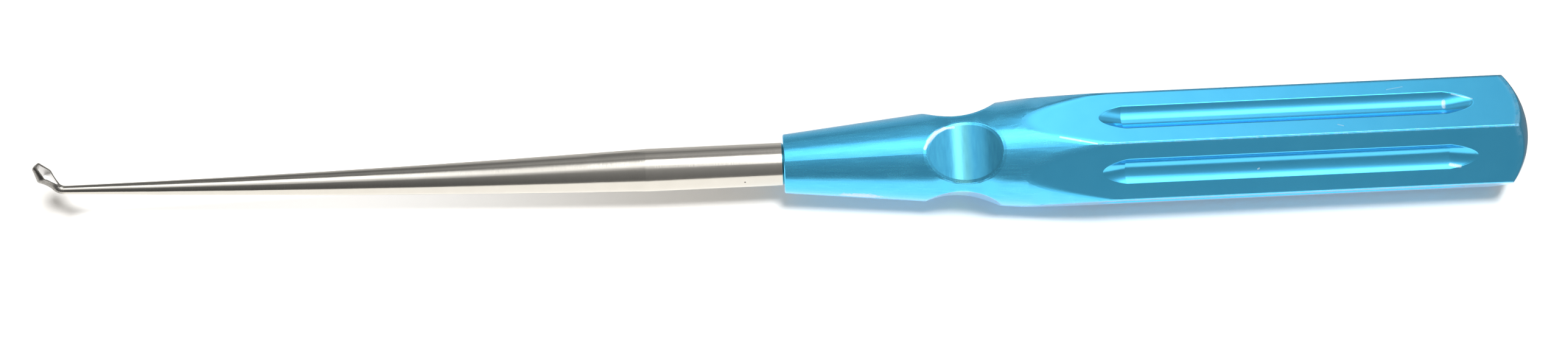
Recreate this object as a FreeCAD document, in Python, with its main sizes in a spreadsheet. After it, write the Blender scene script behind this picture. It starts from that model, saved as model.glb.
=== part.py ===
import FreeCAD
import Part
import math
import os

import Sketcher

# Angled cup curette, lying on one flat of its handle, in millimetres.
# +X runs from the cup to the butt, +Z is up and the table is Z = 0.
# It has two pieces: a steel shank with a tang, a slender bowed shaft and a small cup,
# and an aluminium handle machined from hexagonal bar.

SIZES = {
    # handle
    "handle_length": 114.0,
    "across_flats": 16.4,
    "ridge_radius": 0.4,
    "nose_diameter": 9.0,
    "nose_taper": 5.88,
    "nose_break": 0.15,
    "dome_radius": 13.3,
    "dome_break": 0.25,
    # finger dimples, cut across the taper
    "dimple_count": 4,
    "dimple_station": 26.2,
    "dimple_cutter_radius": 11.6,
    "dimple_floor": 5.7,
    "dimple_break": 0.2,
    # grip flutes, one in each flat
    "flute_count": 6,
    "flute_station": 47.7,
    "flute_butt_margin": 9.6,
    "flute_sink": 3.5,
    "flute_rise": 4.1,
    "flute_depth": 1.07,
    "flute_cutter_radius": 2.4,
    # shank
    "exposed_length": 114.0,
    "shank_diameter": 6.56,
    "shank_straight": 21.0,
    "shoulder_break": 0.25,
    "tang_diameter": 4.6,
    "tang_length": 30.0,
    "tang_break": 0.5,
    "tang_clearance": 0.02,
    "bore_spare": 2.0,
    "drill_angle": 118.0,
    "bow_station": 30.0,
    "bow_offset": 1.16,
    "neck_diameter": 1.3,
    # elbow, measured on the line through the middle of the neck
    "elbow_radius": 1.8,
    "elbow_angle": 42.0,
    # cup, its places measured along the mouth and square to it
    "cup_angle": 51.7,
    "heel_reach": 3.31,
    "heel_drop": 0.44,
    "heel_diameter": 2.74,
    "heel_round": 0.62,
    "bowl_tilt": 6.0,
    "bowl_length": 2.52,
    "belly_reach": 0.5,
    "belly_diameter": 3.0,
    "bowl_end_diameter": 1.95,
    "bowl_corner": 0.5,
    "cup_wall": 0.25,
    "rim_drop": 0.15,
    "mouth_start": 1.0,
    "throat_start": 1.5,
    "throat_drop": 0.05,
    "throat_diameter": 0.3,
    # how far each piece is turned about the long axis
    "handle_roll": 30.0,
    "bend_roll": 28.0,
}
CLEAR = "1"  # how far a cut runs past the metal
BOW_SECTIONS = 6
FLARE_SECTIONS = 4

doc = FreeCAD.newDocument("curette")
sheet = doc.addObject("Spreadsheet::Sheet", "sizes")
for row, (alias, number) in enumerate(SIZES.items(), start=1):
    sheet.set(f"A{row}", alias)
    sheet.set(f"B{row}", str(number))
    sheet.setAlias(f"B{row}", alias)
doc.recompute()

# Places that follow from the sizes, as expressions on the sheet.
APOTHEM = "(sizes.across_flats / 2)"
CORNER = f"({APOTHEM} / cos(30 deg))"
OUTSIDE = f"({CORNER} + {CLEAR})"
NOSE = "(sizes.nose_diameter / 2)"
TAPER = "tan(sizes.nose_taper * 1 deg)"
SHANK = "(sizes.shank_diameter / 2)"
TANG = "(sizes.tang_diameter / 2)"
NECK = "(sizes.neck_diameter / 2)"
CUP_TURN = "(sizes.cup_angle * 1 deg)"
ELBOW_TURN = "(sizes.elbow_angle * 1 deg)"
BOWL_TURN = "((sizes.cup_angle + sizes.bowl_tilt) * 1 deg)"
HEEL = "(sizes.heel_diameter / 2)"
BELLY = "(sizes.belly_diameter / 2)"
BOWL_END = "(sizes.bowl_end_diameter / 2)"
HEEL_X = f"(sizes.heel_reach * cos({CUP_TURN}) + sizes.heel_drop * sin({CUP_TURN}))"
CORNER_X = (
    f"((sizes.bowl_length - sizes.bowl_corner) * cos({BOWL_TURN})"
    f" + ({BOWL_END} - sizes.bowl_corner) * sin({BOWL_TURN}))"
)
TIP_REACH = f"({HEEL_X} + {CORNER_X} + sizes.bowl_corner)"
NECK_X = f"({TIP_REACH} - sizes.exposed_length)"
MIDDLE_X = "((sizes.exposed_length - sizes.handle_length) / 2)"


def value(expression):
    """The number that an expression on the sheet gives."""
    result = sheet.evalExpression(expression)
    return float(getattr(result, "Value", result))


def new_body(name, axis, roll):
    """A body on the tool's long axis, turned about it."""
    body = doc.addObject("PartDesign::Body", name)
    body.Label = name
    body.Placement.Rotation = FreeCAD.Rotation(FreeCAD.Vector(*axis), value(roll))
    body.setExpression("Placement.Rotation.Angle", f"{roll} * 1 deg")
    body.setExpression("Placement.Base.x", MIDDLE_X)
    body.setExpression("Placement.Base.z", APOTHEM)
    return body


def origin_feature(body, role):
    return next(item for item in body.Origin.OriginFeatures if item.Role == role)


def new_sketch(body, name, plane, base=("0", "0", "0"), axis=None, angle=None):
    """A sketch on an origin plane of the body, shifted and turned within its own frame."""
    sketch = body.newObject("Sketcher::SketchObject", name)
    sketch.AttachmentSupport = [(origin_feature(body, plane), "")]
    sketch.MapMode = "FlatFace"
    if axis is not None:
        turn = FreeCAD.Rotation(FreeCAD.Vector(*axis), value(angle))
        sketch.AttachmentOffset = FreeCAD.Placement(FreeCAD.Vector(), turn)
        sketch.setExpression("AttachmentOffset.Rotation.Angle", angle)
    for letter, place in zip("xyz", base):
        if place != "0":
            sketch.setExpression(f"AttachmentOffset.Base.{letter}", place)
    return sketch


def tie(sketch, kind, *where, to):
    """A dimension of the sketch that follows an expression."""
    index = sketch.addConstraint(Sketcher.Constraint(kind, *where, value(to)))
    sketch.setExpression(f"Constraints[{index}]", to)


def tie_point(sketch, geometry, end, place):
    """Ties a point of the sketch to two expressions, measured from its origin."""
    for kind, axis, expression in zip(("DistanceX", "DistanceY"), (-2, -1), place):
        if expression == "0":
            sketch.addConstraint(Sketcher.Constraint("PointOnObject", geometry, end, axis))
        else:
            tie(sketch, kind, -1, 1, geometry, end, to=expression)


def vector(place):
    return FreeCAD.Vector(value(place[0]), value(place[1]), 0)


def loop(sketch, corners):
    """A closed outline through the corners. Where a corner has a third entry, the edge
    that reaches it is an arc of that radius, bulging to the right of the way along it."""
    places = [vector(corner) for corner in corners]
    for index, corner in enumerate(corners):
        following = (index + 1) % len(corners)
        start, end = places[index], places[following]
        if len(corners[following]) == 2:
            sketch.addGeometry(Part.LineSegment(start, end), False)
        else:
            radius = corners[following][2]
            sketch.addGeometry(Part.Arc(start, crown(start, end, value(radius)), end), False)
            tie(sketch, "Radius", index, to=radius)
        tie_point(sketch, index, end_at(sketch, index, start), corner[:2])
    for index in range(len(corners)):
        following = (index + 1) % len(corners)
        here, there = (end_at(sketch, edge, places[following]) for edge in (index, following))
        sketch.addConstraint(Sketcher.Constraint("Coincident", index, here, following, there))
    return sketch


def crown(start, end, radius):
    """The middle of the arc of that radius from start to end, bulging to the right."""
    chord = end - start
    right = FreeCAD.Vector(chord.y, -chord.x, 0).normalize()
    return (start + end) / 2 + right * (radius - math.sqrt(radius**2 - chord.Length**2 / 4))


def end_at(sketch, geometry, place):
    """1 or 2: which end of that edge lies at place."""
    return 1 if sketch.getPoint(geometry, 1).distanceToPoint(place) < 1e-6 else 2


def circle(sketch, centre, radius):
    sketch.addGeometry(Part.Circle(vector(centre), FreeCAD.Vector(0, 0, 1), value(radius)), False)
    tie(sketch, "Radius", 0, to=radius)
    if centre == ("0", "0"):
        sketch.addConstraint(Sketcher.Constraint("Coincident", 0, 3, -1, 1))
    else:
        tie_point(sketch, 0, 3, centre)
    return sketch


def feature(body, kind, name, profile, **settings):
    """A PartDesign feature with a sketch as its profile. Cuts have to take metal away."""
    before = body.Shape.Volume if not body.Shape.isNull() else 0.0
    item = body.newObject(f"PartDesign::{kind}", name)
    item.Profile = profile
    for key, setting in settings.items():
        setattr(item, key, setting)
    doc.recompute()
    check_cut(kind, name, before, body.Shape.Volume)
    return item


def check_cut(kind, name, before, after):
    removes = kind in ("Pocket", "Groove", "SubtractivePipe", "SubtractiveLoft")
    if (after >= before - 1e-6) if removes else (after <= before + 1e-6):
        raise RuntimeError(f"{name} changed the volume from {before:.4f} to {after:.4f}")


def turned(body, kind, name, corners):
    """A profile in the XZ plane, revolved about the long axis."""
    profile = loop(new_sketch(body, f"{name}_profile", "XZ_Plane"), corners)
    axis = (origin_feature(body, "X_Axis"), [""])
    return feature(body, kind, name, profile, ReferenceAxis=axis, Angle=360)


def repeated(body, name, original, count):
    """Copies of a cut, spread evenly about the long axis."""
    before = body.Shape.Volume
    pattern = body.newObject("PartDesign::PolarPattern", name)
    pattern.Originals = [original]
    pattern.Axis = (origin_feature(body, "X_Axis"), [""])
    pattern.Angle = 360
    pattern.setExpression("Occurrences", count)
    body.Tip = pattern
    doc.recompute()
    check_cut("Pocket", name, before, body.Shape.Volume)
    return pattern


def softened(body, name, radius, chosen):
    """Rounds the edges of the tip's shape that chosen picks."""
    base = body.Tip
    numbered = enumerate(base.Shape.Edges, start=1)
    fillet = body.newObject("PartDesign::Fillet", name)
    fillet.Base = (base, [f"Edge{number}" for number, edge in numbered if chosen(base.Shape, edge)])
    fillet.setExpression("Radius", radius)
    doc.recompute()
    return fillet


def beside(shape, edge, surface, fits):
    """Whether one of the faces at the edge is such a surface."""
    faces = shape.ancestorsOfType(edge, Part.Face)
    return any(isinstance(face.Surface, surface) and fits(face.Surface) for face in faces)


def build_handle():
    """Hexagonal bar with a turned taper, a domed butt, four finger dimples across the
    taper, a flute in each flat and a blind bore for the tang."""
    body = new_body("handle", (1, 0, 0), "sizes.handle_roll")
    hexagon = new_sketch(body, "bar_section", "YZ_Plane")
    around = [f"{degrees} deg" for degrees in range(90, 450, 60)]
    loop(hexagon, [(f"{CORNER} * cos({turn})", f"{CORNER} * sin({turn})") for turn in around])
    bar = feature(body, "Pad", "bar", hexagon)
    bar.setExpression("Length", "sizes.handle_length")
    doc.recompute()
    lengthwise = FreeCAD.Vector(1, 0, 0)
    softened(
        body, "ridges", "sizes.ridge_radius",
        lambda shape, edge: abs(edge.tangentAt(edge.FirstParameter).dot(lengthwise)) > 0.99,
    )
    turned(body, "Groove", "nose_taper", [
        (f"-{CLEAR}", f"{NOSE} - sizes.nose_break - {CLEAR}"),
        ("sizes.nose_break", f"{NOSE} + sizes.nose_break * {TAPER}"),
        (f"({OUTSIDE} - {NOSE}) / {TAPER}", OUTSIDE),
        (f"-{CLEAR}", OUTSIDE),
    ])
    dome_centre = "sizes.handle_length - sizes.dome_radius"
    dome_start = f"{dome_centre} + sqrt(sizes.dome_radius ^ 2 - {OUTSIDE} ^ 2)"
    turned(body, "Groove", "butt_dome", [
        ("sizes.handle_length", "0"),
        (dome_start, OUTSIDE, "sizes.dome_radius"),
        (f"sizes.handle_length + {CLEAR}", OUTSIDE),
        (f"sizes.handle_length + {CLEAR}", "0"),
    ])
    bore = f"({TANG} + sizes.tang_clearance)"
    bore_end = "(sizes.tang_length + sizes.bore_spare)"
    turned(body, "Groove", "tang_bore", [
        (f"-{CLEAR}", "0"),
        (f"{bore_end} + {bore} / tan(sizes.drill_angle / 2 * 1 deg)", "0"),
        (bore_end, bore),
        (f"-{CLEAR}", bore),
    ])
    cutter = circle(
        new_sketch(body, "dimple_cutter", "XZ_Plane"),
        ("sizes.dimple_station", "sizes.dimple_floor + sizes.dimple_cutter_radius"),
        "sizes.dimple_cutter_radius",
    )
    dimple = feature(body, "Pocket", "dimple", cutter, Type="ThroughAll", SideType="Symmetric")
    repeated(body, "dimples", dimple, "sizes.dimple_count")
    flute = cut_flute(body)
    repeated(body, "flutes", flute, "sizes.flute_count")
    softened(
        body, "dimple_edges", "sizes.dimple_break",
        lambda shape, edge: beside(
            shape, edge, Part.Cylinder,
            lambda surface: abs(surface.Radius - value("sizes.dimple_cutter_radius")) < 1e-6,
        ),
    )
    softened(
        body, "butt_arris", "sizes.dome_break",
        lambda shape, edge: beside(shape, edge, Part.Sphere, lambda surface: True),
    )
    return body


def cut_flute(body):
    """The groove of a round cutter that sinks into a flat, runs along it and rises again."""
    cutter = "sizes.flute_cutter_radius"
    low = f"({APOTHEM} - sizes.flute_depth + {cutter})"
    ends = []
    for way, tip, ramp in (
        ("1", "sizes.flute_station", "sizes.flute_sink"),
        ("-1", "(sizes.handle_length - sizes.flute_butt_margin)", "sizes.flute_rise"),
    ):
        slope = f"atan(sizes.flute_depth / {ramp})"
        mitre = f"({tip} + {way} * ({ramp} + {cutter} * tan({slope} / 2)))"
        outside = f"({mitre} - {way} * ({ramp} + {cutter} * cos({slope})))"
        high = f"({low} + tan({slope}) * ({ramp} + {cutter} * cos({slope})))"
        ends.append([(outside, high), (mitre, low)])
    places = ends[0] + ends[1][::-1]
    slope = "atan(sizes.flute_depth / sizes.flute_sink)"
    route = new_sketch(body, "flute_route", "XY_Plane")
    for index in range(3):
        route.addGeometry(Part.LineSegment(vector(places[index]), vector(places[index + 1])), False)
        tie_point(route, index, 1, places[index])
        if index:
            route.addConstraint(Sketcher.Constraint("Coincident", index - 1, 2, index, 1))
    tie_point(route, 2, 2, places[3])
    start = (places[0][1], "0", places[0][0])
    section = new_sketch(body, "flute_section", "YZ_Plane", start, (0, -1, 0), slope)
    circle(section, ("0", "0"), cutter)
    return feature(body, "SubtractivePipe", "flute", section, Spine=(route, []), Transition="Right corner")


def build_shank():
    """Tang, straight shank, bowed taper, elbow and cup, all in one piece."""
    body = new_body("curette_shank", (-1, 0, 0), "sizes.bend_roll")
    share = f"(sizes.bow_station - sizes.shank_straight) / (-{NECK_X} - sizes.shank_straight)"
    bow_radius = f"({SHANK} - ({SHANK} - {NECK}) * {share})"
    turned(body, "Revolution", "shank", [
        ("-sizes.bow_station", "0"),
        ("sizes.tang_length", "0"),
        ("sizes.tang_length", f"{TANG} - sizes.tang_break"),
        ("sizes.tang_length - sizes.tang_break", TANG),
        ("0", TANG),
        ("0", f"{SHANK} - sizes.shoulder_break"),
        ("-sizes.shoulder_break", SHANK),
        ("-sizes.shank_straight", SHANK),
        ("-sizes.bow_station", bow_radius),
    ])
    sections = []
    for step in range(BOW_SECTIONS + 1):
        part_way = f"({step} / {BOW_SECTIONS})"
        base = (
            "0",
            f"sizes.bow_offset * {part_way} ^ 2",
            f"-sizes.bow_station + (sizes.bow_station + {NECK_X}) * {part_way}",
        )
        section = new_sketch(body, f"bow_section_{step}", "YZ_Plane", base)
        sections.append(circle(section, ("0", "0"), f"{bow_radius} + ({NECK} - {bow_radius}) * {part_way}"))
    feature(body, "AdditiveLoft", "bowed_shaft", sections[0], Sections=sections[1:], Ruled=True)
    pivot = ("0", "sizes.bow_offset + sizes.elbow_radius", NECK_X)
    bend = new_sketch(body, "elbow_section", "YZ_Plane", pivot)
    circle(bend, ("0", "-sizes.elbow_radius"), NECK)
    turn = value("sizes.elbow_angle")
    elbow = feature(body, "Revolution", "elbow", bend, ReferenceAxis=(bend, ["H_Axis"]), Angle=turn)
    elbow.setExpression("Angle", "sizes.elbow_angle")
    doc.recompute()
    build_cup(body)
    return body


def place_on_cup(reach, drop):
    """A point of the bend's plane as X and Z of the body: reach lies along the mouth and
    drop square to it, both from the middle of the neck where the elbow starts."""
    return (
        f"{NECK_X} - {reach} * cos({CUP_TURN}) - {drop} * sin({CUP_TURN})",
        f"sizes.bow_offset + {reach} * sin({CUP_TURN}) - {drop} * cos({CUP_TURN})",
    )


def cup_section(body, name, reach, drop, turn, radius):
    """A round section across the cup or its neck."""
    along, above = place_on_cup(reach, drop)
    section = new_sketch(body, name, "YZ_Plane", ("0", above, along), (1, 0, 0), turn)
    return circle(section, ("0", "0"), radius)


def cup_profile(body, name, reach, drop, turn):
    """A sketch in the bend's plane, X along the cup and Y away from its mouth."""
    along, above = place_on_cup(reach, drop)
    return new_sketch(body, name, "XZ_Plane", (along, above, "0"), (0, 0, 1), f"180 deg - {turn}")


def turned_bowl(body, kind, name, wall):
    """The bowl or, within its wall, the hollow: one profile, revolved about the bowl's axis."""
    profile = cup_profile(body, f"{name}_profile", "sizes.heel_reach", "sizes.heel_drop", BOWL_TURN)
    end, corner = f"(sizes.bowl_length - {wall})", "sizes.bowl_corner"
    loop(profile, [
        ("0", "0"),
        (end, "0"),
        (end, f"{BOWL_END} - {wall} - {corner}"),
        (f"{end} - {corner}", f"{BOWL_END} - {wall}", corner),
        ("sizes.belly_reach", f"{BELLY} - {wall}"),
        ("0", f"{HEEL} - {wall}", f"sizes.heel_round - {wall}"),
    ])
    feature(body, kind, name, profile, ReferenceAxis=(profile, ["H_Axis"]), Angle=360)


def build_cup(body):
    """Flared neck and bowl of round section, ground flat at the mouth and hollowed."""
    reach = (
        f"(sizes.elbow_radius * (sin({ELBOW_TURN}) * cos({CUP_TURN})"
        f" + (1 - cos({ELBOW_TURN})) * sin({CUP_TURN})))"
    )
    drop = (
        f"(sizes.elbow_radius * (sin({ELBOW_TURN}) * sin({CUP_TURN})"
        f" - (1 - cos({ELBOW_TURN})) * cos({CUP_TURN})))"
    )
    sections = []
    for step in range(FLARE_SECTIONS + 1):
        part_way = f"({step} / {FLARE_SECTIONS})"
        sections.append(cup_section(
            body, f"flare_section_{step}",
            f"({reach} + (sizes.heel_reach - {reach}) * {part_way})",
            f"({drop} + (sizes.heel_drop - {drop}) * {part_way})",
            f"{ELBOW_TURN} + ({BOWL_TURN} - {ELBOW_TURN}) * {part_way}",
            f"{NECK} + ({HEEL} - {NECK}) * {part_way} ^ 2",
        ))
    feature(body, "AdditiveLoft", "flare", sections[0], Sections=sections[1:])
    turned_bowl(body, "Revolution", "bowl", "0")
    past = f"(sizes.heel_reach + sizes.bowl_length + {CLEAR})"
    above = cup_profile(body, "mouth_profile", "0", "sizes.rim_drop", CUP_TURN)
    loop(above, [
        ("sizes.mouth_start", "0"),
        (f"sizes.mouth_start - {CLEAR} / 2", f"-2 * {CLEAR}"),
        (past, f"-2 * {CLEAR}"),
        (past, "0"),
    ])
    feature(body, "Pocket", "mouth", above, Type="ThroughAll", SideType="Symmetric")
    throat = cup_section(
        body, "throat_section",
        "sizes.throat_start", "(sizes.rim_drop + sizes.throat_drop)", CUP_TURN, "(sizes.throat_diameter / 2)",
    )
    heel = cup_section(
        body, "heel_section", "sizes.heel_reach", "sizes.heel_drop", BOWL_TURN, f"({HEEL} - sizes.cup_wall)",
    )
    feature(body, "SubtractiveLoft", "throat", throat, Sections=[heel], Ruled=True)
    turned_bowl(body, "Groove", "hollow", "sizes.cup_wall")


def check(items):
    """Every object has to be computed, and both pieces have to be single valid solids."""
    for item in doc.Objects:
        if {"Invalid", "Error"} & set(item.State):
            raise RuntimeError(f"{item.Label}: {item.State}")
    for item in items:
        shape = item.Shape
        if shape.isNull() or not shape.isValid() or len(shape.Solids) != 1:
            raise RuntimeError(f"{item.Label} is not one valid solid")


pieces = [build_handle(), build_shank()]
doc.recompute()
check(pieces)
os.makedirs("parts", exist_ok=True)
for piece in pieces:
    piece.Shape.exportStep(f"parts/{piece.Label}.step")
    box = piece.Shape.BoundBox
    print(f"{piece.Label}: {piece.Shape.Volume:.1f} mm3, X {box.XMin:.2f} to {box.XMax:.2f}")
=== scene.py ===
# %% [markdown]
# # An angled cup curette on a white table
#
# The object is a slim hand tool, 228 mm long. A polished steel shank tapers to a small
# bent cup, and its other end is set in a blue anodised handle cut from hexagonal bar.
# The solids come ready made, to size and in place. This lesson gives them their finishes,
# their table and their light.
#
# Everything is in metres, with +X running from the cup to the butt and the table at Z = 0.
# Places on the tool are easier to read in millimetres, so the finishes are worked out in
# those.

# %% Load the solids
import math

import bpy
from mathutils import Matrix, Vector

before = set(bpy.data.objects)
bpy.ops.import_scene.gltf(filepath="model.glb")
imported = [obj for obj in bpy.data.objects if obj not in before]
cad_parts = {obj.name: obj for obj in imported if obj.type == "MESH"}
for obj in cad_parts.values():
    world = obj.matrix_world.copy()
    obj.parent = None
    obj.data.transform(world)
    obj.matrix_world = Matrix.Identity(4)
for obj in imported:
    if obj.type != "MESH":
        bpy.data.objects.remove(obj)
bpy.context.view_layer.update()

# %% [markdown]
# ## The camera
#
# The photograph was taken from close by, so the far side of the tool is smaller than the
# near side and the butt looks turned towards us. A lens with a long throw would lose that.
# The camera is a plain pinhole, about 300 mm from the tool, and the picture is a strip cut
# from below the middle of the frame, which is what the vertical shift says.

# %% Place the camera
MM = 0.001
EYE = Vector((-2.475, -170.070, 255.057)) * MM
AZIMUTH = math.radians(1.174)
ELEVATION = math.radians(49.137)
ROLL = math.radians(-1.655)
FOCAL_PIXELS = 3187.34
PICTURE_WIDTH = 2576
RAISED_PIXELS = -362.687

forward = Vector((
    math.sin(AZIMUTH) * math.cos(ELEVATION),
    math.cos(AZIMUTH) * math.cos(ELEVATION),
    -math.sin(ELEVATION),
))
level = Vector((math.cos(AZIMUTH), -math.sin(AZIMUTH), 0))
upright = level.cross(forward)
right = math.cos(ROLL) * level + math.sin(ROLL) * upright
up = math.cos(ROLL) * upright - math.sin(ROLL) * level

lens = bpy.data.cameras.new("camera")
lens.sensor_fit = "HORIZONTAL"
lens.sensor_width = 36
lens.lens = lens.sensor_width * FOCAL_PIXELS / PICTURE_WIDTH
lens.shift_y = RAISED_PIXELS / PICTURE_WIDTH
lens.clip_start = 0.01
camera = bpy.data.objects.new("camera", lens)
turn = Matrix((right, up, -forward)).transposed().to_4x4()
camera.matrix_world = Matrix.Translation(EYE) @ turn
bpy.context.scene.collection.objects.link(camera)
bpy.context.scene.camera = camera
print(f"camera: lens {lens.lens:.2f} mm, shift {lens.shift_y:.4f}")

# %% [markdown]
# ## A short way to write shader maths
#
# Node trees are slow to read as code. The class below wraps one output of a node, so that
# `1 - mask * 0.5` adds the Math nodes for it, and one method adds every other node.

# %% Wires
class Wire:
    """One output of a node, which Python's operators can calculate with."""

    def __init__(self, shader, socket):
        self.shader = shader
        self.socket = socket

    def math(self, operation, *values):
        return self.shader.node("Math", {"operation": operation}, dict(enumerate(values)))

    def __add__(self, other):
        return self.math("ADD", self, other)

    def __sub__(self, other):
        return self.math("SUBTRACT", self, other)

    def __rsub__(self, other):
        return self.math("SUBTRACT", other, self)

    def __mul__(self, other):
        return self.math("MULTIPLY", self, other)

    def __truediv__(self, other):
        return self.math("DIVIDE", self, other)

    def __pow__(self, other):
        return self.math("POWER", self, other)

    def __abs__(self):
        return self.math("ABSOLUTE", self)

    __radd__ = __add__
    __rmul__ = __mul__

    def larger(self, other):
        return self.math("MAXIMUM", self, other)

    def smaller(self, other):
        return self.math("MINIMUM", self, other)

    def root(self):
        return self.math("SQRT", self)

    def rise(self, low, high):
        """0 below low and 1 above high, with a soft step between."""
        limits = {"Value": self, "From Min": low, "From Max": high}
        return self.shader.node("MapRange", {"interpolation_type": "SMOOTHSTEP"}, limits)

    def fall(self, low, high):
        """1 below low and 0 above high."""
        return 1 - self.rise(low, high)

    def within(self, start, end):
        """1 between two soft steps, each given by where it begins and where it is done."""
        return self.rise(*start) * self.fall(*end)


def methods(kind):
    return [name for name in vars(kind) if not name.startswith("_")]


print("a wire knows the operators and", methods(Wire))


# %% Shaders
class Shader:
    """The node tree of a material or of the world."""

    def __init__(self, tree):
        self.tree = tree
        tree.nodes.clear()

    def node(self, kind, settings=None, sockets=None, output=0):
        """Adds a node, its settings first, then its sockets' values or links."""
        made = self.tree.nodes.new("ShaderNode" + kind)
        for name, setting in (settings or {}).items():
            if name == "stops":
                for _ in setting[2:]:
                    made.color_ramp.elements.new(0.5)
                for stop, (place, grey) in zip(made.color_ramp.elements, setting):
                    stop.position = place
                    stop.color = (grey, grey, grey, 1)
            else:
                setattr(made, name, setting)
        for name, given in (sockets or {}).items():
            if isinstance(given, Wire):
                self.tree.links.new(given.socket, made.inputs[name])
            else:
                made.inputs[name].default_value = given
        return Wire(self, made.outputs[output]) if made.outputs else None

    def blend(self, share, first, second):
        """first where share is 0 and second where it is 1, as a colour."""
        ends = {0: share, 6: first, 7: second}
        return self.node("Mix", {"data_type": "RGBA"}, ends, output=2)

    def vectors(self, operation, *given, output=0):
        """Vector Math. Its output "Value" is for the operations that give a number."""
        return self.node("VectorMath", {"operation": operation}, dict(enumerate(given)), output)

    def scaled(self, vector, factor):
        return self.node("VectorMath", {"operation": "SCALE"}, {0: vector, "Scale": factor})

    def noise(self, place, scale, detail=2, roughness=0.5):
        """Soft random values from 0 to 1, scale of them to the unit of place."""
        sockets = {"Vector": place, "Scale": scale, "Detail": detail, "Roughness": roughness}
        return self.node("TexNoise", None, sockets)

    def stretched_noise(self, place, scales, detail, roughness):
        """The same with a scale for each of X, Y and Z: a low one draws it out long."""
        return self.noise(self.vectors("MULTIPLY", place, scales), 1.0, detail, roughness)

    def ray(self, kind):
        """1 for a ray of this kind and 0 for the others."""
        return self.node("LightPath", output=kind)


print("a shader knows", methods(Shader))


# %% Materials
def new_material(name):
    made = bpy.data.materials.new(name)
    made.use_nodes = True
    return made, Shader(made.node_tree)


def dress(node, material):
    """Gives a CAD node its finish."""
    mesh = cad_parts[node].data
    mesh.materials.clear()
    mesh.materials.append(material)
    nodes = len(material.node_tree.nodes)
    print(f"{node}: {material.name}, {nodes} nodes, {len(mesh.polygons)} faces")


print("finishes are put on:", ", ".join(sorted(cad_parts)))

# %% [markdown]
# ## Where on the tool a point lies
#
# Most marks on a machined part follow its geometry: turning streaks run round or along the
# cone, milling marks stay in the dimples, and handling wears the ridges first. So the
# shaders start from the same shapes the parts were cut with, in millimetres, measured from
# the long axis. Marks could be painted on an unwrapped mesh instead, but then every change
# of a size would shift them, and seams would show.

# %% Places on the tool
AXIS_HEIGHT = 8.2
LINE_CORE = 0.3  # the share of a scratch's width in which it is at its strongest


class Place:
    """The position on the tool in millimetres, with y and z from its long axis."""

    def __init__(self, shader):
        coordinates = shader.node("TexCoord", output="Object")
        self.at = shader.scaled(coordinates, 1 / MM)
        self.x, self.y, raised = (
            shader.node("SeparateXYZ", None, {0: self.at}, output=letter) for letter in "XYZ"
        )
        self.z = raised - AXIS_HEIGHT
        self.radius = (self.y * self.y + self.z * self.z).root()
        self.shader = shader

    def reach(self, centre, sizes):
        """1 on an egg of those three half sizes, and less inside it."""
        offset = self.shader.vectors("SUBTRACT", self.at, centre)
        shares = self.shader.vectors("DIVIDE", offset, sizes)
        return self.shader.vectors("LENGTH", shares, output="Value")

    def line(self, start, end, width):
        """A scratch from start to end: 1 on it, 0 farther off than its width."""
        way = Vector(end) - Vector(start)
        offset = self.shader.vectors("SUBTRACT", self.at, start)
        share = self.shader.vectors("DOT_PRODUCT", offset, way / way.length_squared, output="Value")
        foot = self.shader.scaled(way, share.larger(0).smaller(1))
        gap = self.shader.vectors("DISTANCE", offset, foot, output="Value")
        return gap.fall(width * LINE_CORE, width)


print(f"places are in millimetres, and the long axis lies {AXIS_HEIGHT} mm above the table")

# %% [markdown]
# ## Blue anodised aluminium
#
# Anodising grows a clear, dyed skin on the metal. The metal under it still mirrors the
# room, so the blue comes from a tinted reflection and not from paint: that is a metallic
# surface with a blue base colour. The skin itself adds a faint crisp gloss on top, for
# which the clear coat stands. The bar was blasted to a satin before it was dyed. Blue
# plastic would be quicker to write, and would lose the room's reflections in the flats.
#
# The finish first has to know which cut made the metal at a point. Each cut's surface gives
# a depth, which is 0 on that surface. The sums are short because the hexagon looks the same
# from above as from below and from the front as from behind.

# %% The cuts that shaped the handle
HALF_FLATS = 8.2
NOSE_RADIUS = 4.5
TAPER = math.tan(math.radians(5.88))
DIMPLE_X = 26.2
DIMPLE_CENTRE = 17.3
DIMPLE_RADIUS = 11.6
DOME_X = 100.7
DOME_RADIUS = 13.3
CUTTER_RADIUS = 2.4
CUTTER_HEIGHT = 9.53
SINK_X, SINK_SLOPE = 51.56, 0.306
RISE_X, RISE_SLOPE = 99.99, 0.261
SIN_60, COS_60 = 0.8660, 0.5

anodised, shade = new_material("blue_anodised_aluminium")
place = Place(shade)
level_reach = abs(place.z)
sloping_reach = abs(place.y) * SIN_60 + abs(place.z) * COS_60
flat_reach = level_reach.larger(sloping_reach)
dimple_side = abs(place.y * SIN_60 + place.z * COS_60)
dimple_front = abs(place.z * SIN_60 - place.y * COS_60)
towards_dimple = dimple_side.larger(dimple_front)
dimple_reach = ((place.x - DIMPLE_X) ** 2 + (towards_dimple - DIMPLE_CENTRE) ** 2).root()
dome_reach = ((place.x - DOME_X) ** 2 + place.radius * place.radius).root()
sunk = (SINK_X - place.x).larger(0) * SINK_SLOPE + (place.x - RISE_X).larger(0) * RISE_SLOPE
cutter = sunk + CUTTER_HEIGHT
cutter_reach = (place.radius ** 2 + cutter * cutter - 2 * cutter * flat_reach).larger(0).root()

under_level = HALF_FLATS - level_reach
under_sloping = HALF_FLATS - sloping_reach
under_flat = HALF_FLATS - flat_reach
under_cone = NOSE_RADIUS + TAPER * place.x - place.radius
under_dimple = dimple_reach - DIMPLE_RADIUS
under_dome = DOME_RADIUS - dome_reach
under_flute = cutter_reach - CUTTER_RADIUS
print("depths under: flat, cone, dimple, dome and flute")

# %% [markdown]
# A mesh only comes near to a round surface, because its facets cut the corners. So a point
# counts as on a cut's surface while its depth is small, not only where it is 0.

# %% Which cut made a point
FACETS = (0.05, 0.12)
DIMPLE_FACETS = (0.06, 0.12)
FLUTE_LIP = (0.01, 0.06)
CONE_END = (48, 49)
DOME_START = (104, 105)


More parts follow.
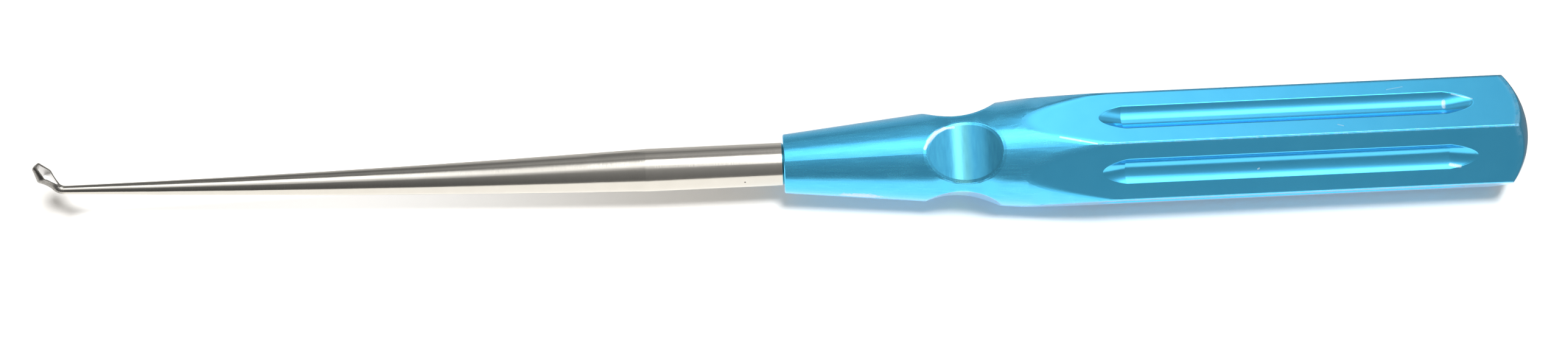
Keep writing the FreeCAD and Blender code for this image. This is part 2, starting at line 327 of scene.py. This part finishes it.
def on_surface(depth, facets=FACETS):
    return abs(depth).fall(*facets)


at_dome = place.x.rise(*DOME_START)
on_cone = on_surface(under_cone) * place.x.fall(*CONE_END)
in_dimple = on_surface(under_dimple, DIMPLE_FACETS)
in_flute = on_surface(under_flute) * under_flat.rise(*FLUTE_LIP)
on_dome = on_surface(under_dome) * at_dome
print("masks: cone, dimple, flute and dome")

# %% [markdown]
# Blasting before the dye bath rounds every machined edge. The solids have crisp edges where
# the cone runs out into the flats, so the shading rounds them: where two cuts meet, the
# relief sinks by an amount that depends on how close the other cut's surface is. That is
# the smooth minimum of two distances, and it makes the reflections run across the edge.
# A bevel would do it in the mesh, but the mesh of the solids stays as it was made. Some
# edges are already rounded in the solid, and there the relief only widens the round.

# %% Soften the edges
CONE_EDGE = 0.32
FLUTE_EDGE = 0.14
RIDGE_EDGE = 0.22
BACK_RIDGE_MORE = 0.25
DIMPLE_EDGE = 0.26
DOME_EDGE = 0.5
SUNK_SHARE = -0.25
EASED_SHARE = -0.16


def met(first, second, width):
    """The relief that rounds a sharp edge where two cuts meet."""
    share = (1 - first.larger(second) / width).larger(0)
    return share * share * (width * SUNK_SHARE)


def eased(first, second, width):
    """The relief that widens an edge which is rounded in the solid."""
    share = (1 - ((first - second) / width) ** 2).larger(0)
    return share * share * (EASED_SHARE * width) * first.smaller(second).fall(*FACETS)


softened = met(under_flat, under_cone, CONE_EDGE) + met(under_flat, under_flute, FLUTE_EDGE)
ridge_width = place.y.rise(0, 4) * BACK_RIDGE_MORE + RIDGE_EDGE
softened = softened + met(under_level, under_sloping, ridge_width)
softened = softened + eased(under_cone, under_dimple, DIMPLE_EDGE)
softened = softened + eased(under_flat, under_dome, DOME_EDGE) * at_dome
print(f"edges softened over {FLUTE_EDGE} to {DOME_EDGE} mm")

# %% [markdown]
# The lathe and the cloth that followed it left streaks along the cone, the end mill left
# cross ones in the dimples, and the flutes were cut lengthwise. Each is a noise,
# stretched along the way the tool went. All of them are faint: they vary the roughness
# and the surface by a little and the colour by less. Noise needs no picture file, and it
# stays sharp however close the camera comes.

# %% Tool marks
ALONG = (0.12, 2.6, 2.6)
ACROSS = (3.0, 0.5, 0.5)
FLUTE_STREAKS = 0.35
DIMPLE_STREAKS = 0.8

lengthwise = shade.stretched_noise(place.at, ALONG, detail=4, roughness=0.6)
milled = shade.stretched_noise(place.at, ACROSS, detail=2, roughness=0.5)
satin = shade.noise(place.at, scale=6.0, detail=3, roughness=0.65)
cloudy = shade.noise(place.at, scale=0.30, detail=3, roughness=0.5)
streaks = (lengthwise - 0.5) * (on_cone + FLUTE_STREAKS * in_flute)
streaks = streaks + (milled - 0.5) * (DIMPLE_STREAKS * in_dimple)
print("tool marks: lengthwise, milled, a satin grain and cloudy dye")

# %% [markdown]
# Use has worn the dye thin where the tool touches trays and gloves: along the butt's arris
# and in one scraped patch under the nose. A few small scratches lie on the flats. The pale
# lines where the front ridge starts, at the butt ends of the flutes and on the rim of the
# front dimple are painted highlights, not wear. Each mark is a line or an egg at its own
# place, and noise breaks up the outline of the larger ones.

# %% Places that use has worn, and painted glints
# painted highlight: a glint along the edge where the front ridge starts
RIDGE_START_GLINT = [
    # start, end, width in millimetres and the share of pale colour laid over the dye
    ((41.5, -3.09, 8.20), (44.4, -3.91, 8.18), 0.22, 0.60),
    ((44.4, -3.91, 8.18), (46.8, -4.55, 8.10), 0.15, 0.75),
]
# painted highlight: a crescent glint on the rim of the front dimple
DIMPLE_RIM_GLINT = [
    ((21.3, -2.60, 6.10), (21.9, -1.60, 6.43), 0.34, 1.00),
    ((21.9, -1.60, 6.43), (23.1, -0.30, 6.79), 0.42, 1.00),
    ((23.1, -0.30, 6.79), (24.4, 0.35, 6.87), 0.38, 1.00),
    ((24.4, 0.35, 6.87), (25.9, 0.48, 6.86), 0.26, 0.80),
]
# painted highlights: glints where the flutes' butt ends rise out of the flats
FLUTE_END_GLINTS = [
    ((100.2, -0.10, 7.20), (100.4, 0.90, 7.20), 0.40, 0.70),
    ((101.6, 1.60, 8.10), (104.4, 0.50, 8.20), 0.18, 0.45),
    ((100.4, -7.43, 2.55), (101.7, -7.91, 2.66), 0.35, 0.70),
]
SCRATCHES = [
    ((71.3, -6.8, 2.8), (71.5, -6.75, 2.9), 0.16, 0.60),
    ((83.2, -3.1, 8.2), (84.0, -3.4, 8.2), 0.12, 0.35),
    ((92.0, 2.9, 8.2), (94.5, 3.3, 8.2), 0.12, 0.25),
]
SCRAPE_CENTRE, SCRAPE_SIZES = (11.4, -5.50, 6.75), (4.2, 0.8, 0.85)
worn_and_glint_lines = RIDGE_START_GLINT + DIMPLE_RIM_GLINT + FLUTE_END_GLINTS + SCRATCHES
print("worn places:", len(worn_and_glint_lines), "lines and a scrape")

# %% Wear and painted glints
RIDGE_RADII = (9.28, 9.40)
RIDGE_WEAR = 0.20
ARRIS_DEPTH_IN_DOME, ARRIS_DEPTH_IN_FLAT = (0.25, 0.85), (0.02, 0.1)
BUTT_WEAR, BUTT_WEAR_ON_TOP = 0.04, 0.16
SCRAPE_WEAR = 0.85
SCRAPE_RAGGEDNESS = 2.2

broken = shade.noise(place.at, scale=1.3, detail=4, roughness=0.7)
chatter = shade.stretched_noise(place.at, (2.4, 3.2, 3.2), detail=4, roughness=0.7)
# the worn lines and the painted glints, each laid on with its share
rubbed_and_glints = sum(
    place.line((x0, y0, z0 + AXIS_HEIGHT), (x1, y1, z1 + AXIS_HEIGHT), width) * share
    for (x0, y0, z0), (x1, y1, z1), width, share in worn_and_glint_lines
)
along_ridge = place.radius.rise(*RIDGE_RADII) * broken.rise(0.35, 0.75) * RIDGE_WEAR
arris = under_dome.fall(*ARRIS_DEPTH_IN_DOME) * under_flat.fall(*ARRIS_DEPTH_IN_FLAT)
arris = arris * place.x.rise(100, 102)
arris_wear = place.z.rise(4, 8) * BUTT_WEAR_ON_TOP + BUTT_WEAR
at_butt = arris * arris_wear * broken.rise(0.30, 0.60)
scrape_reach = place.reach(SCRAPE_CENTRE, SCRAPE_SIZES)
scraped = (scrape_reach + (chatter - 0.5) * SCRAPE_RAGGEDNESS).fall(0.70, 1.0)
# real wear together with the painted glints, where the dye gives way to a pale colour
wear_and_glints = (rubbed_and_glints + along_ridge + at_butt).smaller(1).larger(scraped * SCRAPE_WEAR)
print("wear: lines, the ridges, the butt and one scrape")

# %% [markdown]
# The dye is a slightly cloudy blue, streaky where the turned metal shows through it, and
# paler in the blasted grain. A paler blue across the bottom of each dimple is a painted
# highlight, and a darker blue on the domed end is painted shade, for the dark reflection
# that the end takes. Each is laid over the last, from the whole handle down to the worn
# spots, where the dye has gone and the metal is pale and dull, and the painted glints, which are as
# pale.

# %% The dye
BLUE = ((0.060, 0.510, 0.890, 1), (0.085, 0.580, 0.960, 1))
STREAKY_BLUE = ((0.045, 0.420, 0.790, 1), (0.120, 0.660, 1.000, 1))
GRAIN_BLUE = (0.115, 0.640, 1.000, 1)
DIMPLE_HIGHLIGHT_BLUE = (0.230, 0.880, 1.000, 1)
DOME_SHADE_BLUE = (0.035, 0.200, 0.350, 1)
WORN_AND_GLINT_BLUE = (0.72, 0.83, 0.87, 1)
STREAK_CONTRAST = 1.3
STREAK_SHARE, DIMPLE_HIGHLIGHT_SHARE, DOME_SHADE_SHARE, WORN_AND_GLINT_SHARE = 0.6, 0.7, 0.25, 0.85
BAND_X, BAND_HALF_WIDTH = 26.8, (0.4, 2.0)

dye = shade.blend(cloudy, *BLUE)
streaked = shade.blend((streaks * STREAK_CONTRAST + 0.5).rise(0, 1), *STREAKY_BLUE)
dye = shade.blend(on_cone.larger(in_dimple) * STREAK_SHARE, dye, streaked)
dye = shade.blend((satin - 0.5) * 0.5 + 0.25, dye, GRAIN_BLUE)
# painted highlight: a paler blue band across the bottom of each dimple
dimple_highlight_band = in_dimple * abs(place.x - BAND_X).fall(*BAND_HALF_WIDTH)
dye = shade.blend(dimple_highlight_band * DIMPLE_HIGHLIGHT_SHARE, dye, DIMPLE_HIGHLIGHT_BLUE)
# painted shade: a darker blue on the domed end
dye = shade.blend(on_dome * DOME_SHADE_SHARE, dye, DOME_SHADE_BLUE)
# painted glints turn pale here together with the real wear
dye = shade.blend(wear_and_glints * WORN_AND_GLINT_SHARE, dye, WORN_AND_GLINT_BLUE)
print("dye: blue, with streaks, grain, a band in the dimples, a deeper end and wear")

# %% [markdown]
# Everything meets in one shader. The relief is in millimetres, as the sizes are, and the
# Bump node's distance turns it to metres. Worn spots are less of a mirror than the dyed
# skin, so they lose some of their metal, and so do the painted glints, so that their pale
# colour shows.

# %% Put the handle's finish together
METAL, METAL_LOST_TO_WEAR_AND_GLINTS = 0.80, 0.50
ROUGHNESS = 0.20
GRAIN_ROUGHNESS, STREAK_ROUGHNESS, CONE_ROUGHNESS, WEAR_AND_GLINT_ROUGHNESS = 0.08, 0.12, 0.06, 0.10
GRAIN_HEIGHT, STREAK_HEIGHT, SCRAPE_DEPTH = 0.0009, 0.007, 0.008

gloss = ROUGHNESS + (satin - 0.5) * GRAIN_ROUGHNESS + streaks * STREAK_ROUGHNESS
gloss = gloss + on_cone * CONE_ROUGHNESS + wear_and_glints * WEAR_AND_GLINT_ROUGHNESS
height = softened + satin * GRAIN_HEIGHT + streaks * STREAK_HEIGHT - scraped * SCRAPE_DEPTH
relief = shade.node("Bump", None, {"Strength": 1.0, "Distance": MM, "Height": height})
surface = shade.node("BsdfPrincipled", None, {
    "Base Color": dye,
    "Metallic": METAL - wear_and_glints * METAL_LOST_TO_WEAR_AND_GLINTS,
    "Roughness": gloss,
    "Normal": relief,
    "Coat Weight": 0.20,
    "Coat Roughness": 0.12,
})
shade.node("OutputMaterial", None, {"Surface": surface})
dress("handle", anodised)

# %% [markdown]
# ## Polished stainless steel
#
# The shank was ground round and then polished along a belt, which leaves a fine grit that
# breaks up the edge of every reflection. It darkens nothing, so it is only in the relief
# and the roughness. The steel has faint stains, and there is one small pit near the handle.

# %% Grit, stains and a pit
GROUND_ACROSS = (5.5, 0.9, 0.9)
LAPPED_ALONG = (0.25, 4.0, 4.0)
PIT, PIT_SIZES = (-6.0, -3.26, 8.51), (0.12, 0.12, 0.12)

steel, shade = new_material("polished_stainless_steel")
place = Place(shade)
ground = shade.stretched_noise(place.at, GROUND_ACROSS, detail=4, roughness=0.65)
fine = shade.noise(place.at, scale=9.0, detail=3, roughness=0.7)
lapped = shade.stretched_noise(place.at, LAPPED_ALONG, detail=3, roughness=0.6)
stained = shade.noise(place.at, scale=0.5, detail=3, roughness=0.6)
pit = place.reach(PIT, PIT_SIZES).fall(0.8, 1.3)
print("steel: ground, fine and lapped marks, stains and a pit")

# %% [markdown]
# The cup was blasted instead, so its outside is greyer and speckled and takes a broad
# highlight, and its scraped-out hollow is painted near white, a painted highlight. The two
# are told apart by a line up the middle of the bowl: the wall's normal points away from that
# line on the outside and towards it in the hollow. The rim is the flat that joins them, and
# counts as outside. Two materials on chosen faces would do as well, but the boundary would
# be as hard as a facet.
#
# Three directions say how the bowl lies. BOWL_WAY runs up its middle from the heel,
# MOUTH_WAY stands square to the mouth, which lies MOUTH_DEPTH along it, and FAR_WAY points
# at the back wall. The hollow is painted darker towards that wall and towards its far end, as
# shade.

# %% The cup's parts
NECK = (-110.6, -109.4)
HEEL = (-112.17, 1.64, 11.28)
BOWL_WAY = (-0.6984, 0.3360, 0.6319)
MOUTH_WAY = (0.7848, 0.2910, 0.5472)
MOUTH_DEPTH = -80.996
FAR_WAY = (0.0, 0.8829, -0.4695)
FAR_WALL = (0.90, 1.25)
FAR_END = (1.6, 2.2)
GLINT_START, GLINT_END, GLINT_WIDTH = (-112.95, 3.22, 12.75), (-112.60, 3.22, 12.30), 0.28


def dot(first, second):
    return shade.vectors("DOT_PRODUCT", first, second, output="Value")


on_cup = place.x.fall(*NECK)
facing = shade.node("NewGeometry", output="Normal")
from_heel = shade.vectors("SUBTRACT", place.at, HEEL)
along_bowl = dot(from_heel, BOWL_WAY)
foot = shade.scaled(BOWL_WAY, along_bowl)
outwards = dot(shade.vectors("SUBTRACT", from_heel, foot), facing)
on_rim = abs(dot(place.at, MOUTH_WAY) - MOUTH_DEPTH).fall(0.02, 0.06)
hollow = on_cup * (1 - on_rim) * outwards.fall(-0.10, 0.05)
outside = on_cup * (1 - hollow)
far_wall = dot(from_heel, FAR_WAY).rise(*FAR_WALL)
shaded = along_bowl.rise(*FAR_END).larger(far_wall) * hollow
glint = place.line(GLINT_START, GLINT_END, GLINT_WIDTH) * on_cup
print("cup: hollow, outside, the shaded end of the hollow and a glint on the tip")

# %% [markdown]
# The hollow loses most of its metal, so that its painted highlight shows near white,
# except where it is painted darker as shade. The tip has one bright spot, a painted glint.

# %% Put the shank's finish together
STEEL = ((0.585, 0.560, 0.510, 1), (0.650, 0.625, 0.575, 1))
SPECKLES = ((0.16, 0.15, 0.14, 1), (0.40, 0.39, 0.37, 1))
HOLLOW_HIGHLIGHT_STEEL = (0.97, 0.96, 0.95, 1)
GLINT_STEEL = (0.95, 0.95, 0.94, 1)
PIT_STEEL = (0.12, 0.11, 0.10, 1)
SHADED_SHARE = 0.7
METAL_LOST_IN_HOLLOW = 0.75
ROUGHNESS = 0.13
GROUND_ROUGHNESS, CUP_ROUGHNESS, PIT_ROUGHNESS = 0.10, 0.20, 0.3
GROUND_HEIGHT, LAPPED_HEIGHT, PIT_DEPTH = 0.0035, 0.004, 0.03
FINE_HEIGHT, CUP_HEIGHT = 0.0018, 0.006

metal = shade.blend(stained, *STEEL)
speckled = shade.blend(fine.rise(0.3, 0.7), *SPECKLES)
# painted highlight: the hollow turns near white
metal = shade.blend(hollow, metal, HOLLOW_HIGHLIGHT_STEEL)
# painted shade: the far end of the hollow takes the dark speckled colour
metal = shade.blend(outside.larger(shaded * SHADED_SHARE), metal, speckled)
metal = shade.blend(glint, metal, GLINT_STEEL)
metal = shade.blend(pit, metal, PIT_STEEL)
gloss = ROUGHNESS + (ground - 0.5) * GROUND_ROUGHNESS
gloss = gloss + on_cup * CUP_ROUGHNESS + pit * PIT_ROUGHNESS
height = (ground - 0.5) * GROUND_HEIGHT + (fine - 0.5) * (FINE_HEIGHT + on_cup * CUP_HEIGHT)
height = height + (lapped - 0.5) * LAPPED_HEIGHT - pit * PIT_DEPTH
relief = shade.node("Bump", None, {"Strength": 1.0, "Distance": MM, "Height": height})
pale = (hollow - shaded * SHADED_SHARE).larger(glint)
surface = shade.node("BsdfPrincipled", None, {
    "Base Color": metal,
    "Metallic": 1 - pale * METAL_LOST_IN_HOLLOW,
    "Roughness": gloss,
    "Normal": relief,
})
shade.node("OutputMaterial", None, {"Surface": surface})
dress("curette_shank", steel)

# %% [markdown]
# ## The table
#
# The photographer used a white table, exposed until it burned out, and only the shadow
# kept some tone. More light would burn out the tool as well, so the table helps itself: it
# is plain white paint for the shadow that falls on it, it glows a little for the camera,
# and it glows rather more for the mirrors.
#
# The table lies a hair below the tool, so that the two surfaces never share a plane.

# %% Lay the table
TABLE_SIZE = 3.0
TABLE_DROP = 0.00003

half = TABLE_SIZE / 2
outline = [(-half, -half), (half, -half), (half, half), (-half, half)]
corners = [(x, y, -TABLE_DROP) for x, y in outline]
table_mesh = bpy.data.meshes.new("table")
table_mesh.from_pydata(corners, [], [(0, 1, 2, 3)])
table = bpy.data.objects.new("table", table_mesh)
bpy.context.scene.collection.objects.link(table)
print(f"table: {TABLE_SIZE} m square")

# %% [markdown]
# Two things vary over the table. Under the thin end of the shaft the photograph is burned
# out altogether, so a patch there glows more for the camera. And the mirrors don't see
# white everywhere: the near side of the table, the part behind the tool and the part past
# the butt fall off to dark, which draws a dark line along the steel and keeps the handle's
# front flat a deep blue.

# %% Paint the table
PAINT = (0.95, 0.94, 0.92, 1)
UNLIT = (0.02, 0.02, 0.02, 1)
GLOW_SEEN, GLOW_BURNT, GLOW_MIRRORED = 0.13, 0.55, 0.40
NEAR_DIMMING, BEHIND_DIMMING, PAST_BUTT_DIMMING = 0.85, 0.55, 0.85

white, shade = new_material("white_table")
place = Place(shade)
seen = shade.ray("Is Camera Ray")
mirrored = shade.ray("Is Glossy Ray")
burnt = place.x.within((-112.5, -108), (-75, -5)) * place.y.within((-60, -40), (5, 25))
strength = seen * (GLOW_SEEN + burnt * GLOW_BURNT) + mirrored * GLOW_MIRRORED
paint = shade.node("BsdfDiffuse", None, {"Color": PAINT})
glow = shade.node("Emission", None, {"Color": (1, 1, 1, 1), "Strength": strength})
bright = shade.node("AddShader", None, {0: paint, 1: glow})
unlit = shade.node("BsdfDiffuse", None, {"Color": UNLIT})
near_side = place.y.fall(-140, -38) * NEAR_DIMMING
behind_tool = place.y.rise(4, 25) * BEHIND_DIMMING
past_butt = place.x.rise(112, 122) * PAST_BUTT_DIMMING
dim = near_side.larger(behind_tool).larger(past_butt)
told = shade.node("MixShader", None, {0: dim * mirrored, 1: bright, 2: unlit})
shade.node("OutputMaterial", None, {"Surface": told})
table_mesh.materials.append(white)
print(f"paint: {len(white.node_tree.nodes)} nodes")

# %% [markdown]
# ## The light
#
# Polished metal shows the room more than it shows itself, so the room is part of the
# finish. A picture of a real room would do, but a few ramps are enough where only narrow
# reflections show it, and each can be set against the photograph by itself. Two numbers
# place everything in the room. `around` runs from 0 at the horizon beyond the tool, over
# the zenith at a half, to 1 at the horizon behind the camera. `sideways` runs from -1 at
# the left to 1 at the right.
#
# The walls are dim behind the camera and brighter overhead, and the right side is brighter
# than the left. Beyond the tool, the foot of the wall on the right is dimmed once more.

# %% The walls
WALLS = [
    (0.00, 0.40), (0.05, 0.37), (0.12, 0.17), (0.20, 0.27), (0.27, 0.35),
    (0.33, 0.24), (0.38, 0.40), (0.57, 0.80), (0.60, 0.62), (0.63, 0.46),
    (0.67, 0.32), (0.73, 0.23), (0.83, 0.18), (0.94, 0.15), (1.00, 0.15),
]
SIDES = [
    (0.00, 0.15), (0.24, 0.20), (0.33, 0.33), (0.40, 0.52), (0.47, 0.77),
    (0.56, 0.77), (0.60, 0.84), (0.68, 0.76), (0.80, 0.70), (1.00, 0.58),
]
FOOT_DIMMING = 0.6

room = bpy.data.worlds.new("room")
room.use_nodes = True
bpy.context.scene.world = room
shade = Shader(room.node_tree)
direction = shade.node("TexCoord", output="Generated")
sideways, away, above = (
    shade.node("SeparateXYZ", None, {0: direction}, output=letter) for letter in "XYZ"
)
around = above.math("ARCTAN2", above, away) * (1 / math.pi)
walls = shade.node("ValToRGB", {"stops": WALLS}, {0: around})
sides = shade.node("ValToRGB", {"stops": SIDES}, {0: sideways * 0.5 + 0.5})
foot_of_wall = 1 - around.fall(0.08, 0.16) * sideways.rise(0.02, 0.10) * FOOT_DIMMING
print(f"walls: {len(WALLS)} stops over the room and {len(SIDES)} across it")

# %% [markdown]
# What is bright in the room draws the highlights. A wide window overhead draws the long
# ones, and a curtain darkens a narrow part of it. A panel beyond the tool, to the right,
# lights the handle's top flat. A skylight and a strip beside it, both a little towards the
# camera, draw the shorter highlights on the round parts.

# %% The window
WINDOW_MIDDLE, WINDOW_HALF_WIDTH = 0.06, (0.46, 0.56)
WINDOW_FAR_EDGE = (0.375, 0.405)
WINDOW_NEAR_EDGE, WINDOW_NEAR_SOFTNESS = 0.545, 0.035
WINDOW_STRENGTH, WINDOW_RIGHT_MORE = 1.6, 0.6
CURTAIN_MIDDLE, CURTAIN_HALF_WIDTH = -0.165, (0.03, 0.07)
CURTAIN_STRENGTH = 1.8

curtain = abs(sideways - CURTAIN_MIDDLE).fall(*CURTAIN_HALF_WIDTH)
far_edge = (around - curtain * 0.05).rise(*WINDOW_FAR_EDGE)
past_near_edge = around - (WINDOW_NEAR_EDGE + curtain * 0.06)
near_edge = past_near_edge.fall(-WINDOW_NEAR_SOFTNESS, WINDOW_NEAR_SOFTNESS)
window = far_edge * near_edge * abs(sideways - WINDOW_MIDDLE).fall(*WINDOW_HALF_WIDTH)
to_the_right = sideways.rise(-0.30, -0.20) * WINDOW_RIGHT_MORE
window = window * (WINDOW_STRENGTH + to_the_right - curtain * CURTAIN_STRENGTH)
print(f"window: {WINDOW_STRENGTH} to {WINDOW_STRENGTH + WINDOW_RIGHT_MORE:.1f} bright")

# %% The panel, the skylight and the strip beside it
WALLS_STRENGTH = 1.95
PANEL_STRENGTH, PANEL_RIGHT_LESS = 1.6, (0.130, 0.165)
SKYLIGHT_MIDDLE, SKYLIGHT_HALF_WIDTH = 0.08, (0.06, 0.13)
SKYLIGHT_STRENGTH = 1.6
STRIP_STRENGTH = 0.45

panel = around.within((0.16, 0.24), (0.36, 0.44)) * sideways.within((0.04, 0.10), (0.22, 0.38))
panel = panel * (PANEL_STRENGTH - sideways.rise(*PANEL_RIGHT_LESS))
skylight = around.within((0.55, 0.58), (0.64, 0.67))
skylight = skylight * abs(sideways - SKYLIGHT_MIDDLE).fall(*SKYLIGHT_HALF_WIDTH)
strip = around.within((0.53, 0.57), (0.64, 0.68)) * sideways.within((-0.68, -0.50), (-0.24, -0.12))
brightness = walls * sides * foot_of_wall * WALLS_STRENGTH + strip * STRIP_STRENGTH
brightness = brightness + window + panel + skylight * SKYLIGHT_STRENGTH
print("room: the walls, the window, the panel, the skylight and the strip")

# %% [markdown]
# Only mirrors see the room. Matt surfaces get an even fill instead, so that a colour
# renders about as it is written, and the camera sees the white that the table runs out to.

# %% Show the room to the mirrors
FILL = (0.33, 0.315, 0.29, 1)

seen = shade.ray("Is Camera Ray")
mirrored = shade.ray("Is Glossy Ray")
glimpsed = shade.node("CombineXYZ", None, {"X": brightness, "Y": brightness, "Z": brightness})
filled = shade.blend(mirrored, FILL, glimpsed)
shown = shade.blend(seen, filled, (1, 1, 1, 1))
backdrop = shade.node("Background", None, {"Color": shown, "Strength": 1.0})
shade.node("OutputWorld", None, {"Surface": backdrop})
print(f"world: {len(room.node_tree.nodes)} nodes")

# %% [markdown]
# One lamp lights the tool, a little towards the camera, and stays out of the mirrors. It is
# small and far, so that even the slender neck and the cup draw a shadow with a dark core.

# %% Hang the lamp
LAMP_PLACE = (0.11, -0.29, 1.15)
LAMP_SIZE = 0.21
LAMP_RADIANCE = 82.0

lamp = bpy.data.lights.new("lamp", "AREA")
lamp.shape = "SQUARE"
lamp.size = LAMP_SIZE
lamp.energy = LAMP_RADIANCE * math.pi * LAMP_SIZE * LAMP_SIZE
hung = bpy.data.objects.new("lamp", lamp)
hung.location = LAMP_PLACE
hung.rotation_euler = (-Vector(LAMP_PLACE)).to_track_quat("-Z", "Y").to_euler()
hung.visible_glossy = False
bpy.context.scene.collection.objects.link(hung)
print(f"lamp: {lamp.energy:.2f} W")

# %% [markdown]
# Blender's usual view transform softens bright colours, as film does. The plain one shows
# the colours as they were written.

# %% Colours as written
bpy.context.scene.view_settings.view_transform = "Standard"
print("view transform:", bpy.context.scene.view_settings.view_transform)

# %% [markdown]
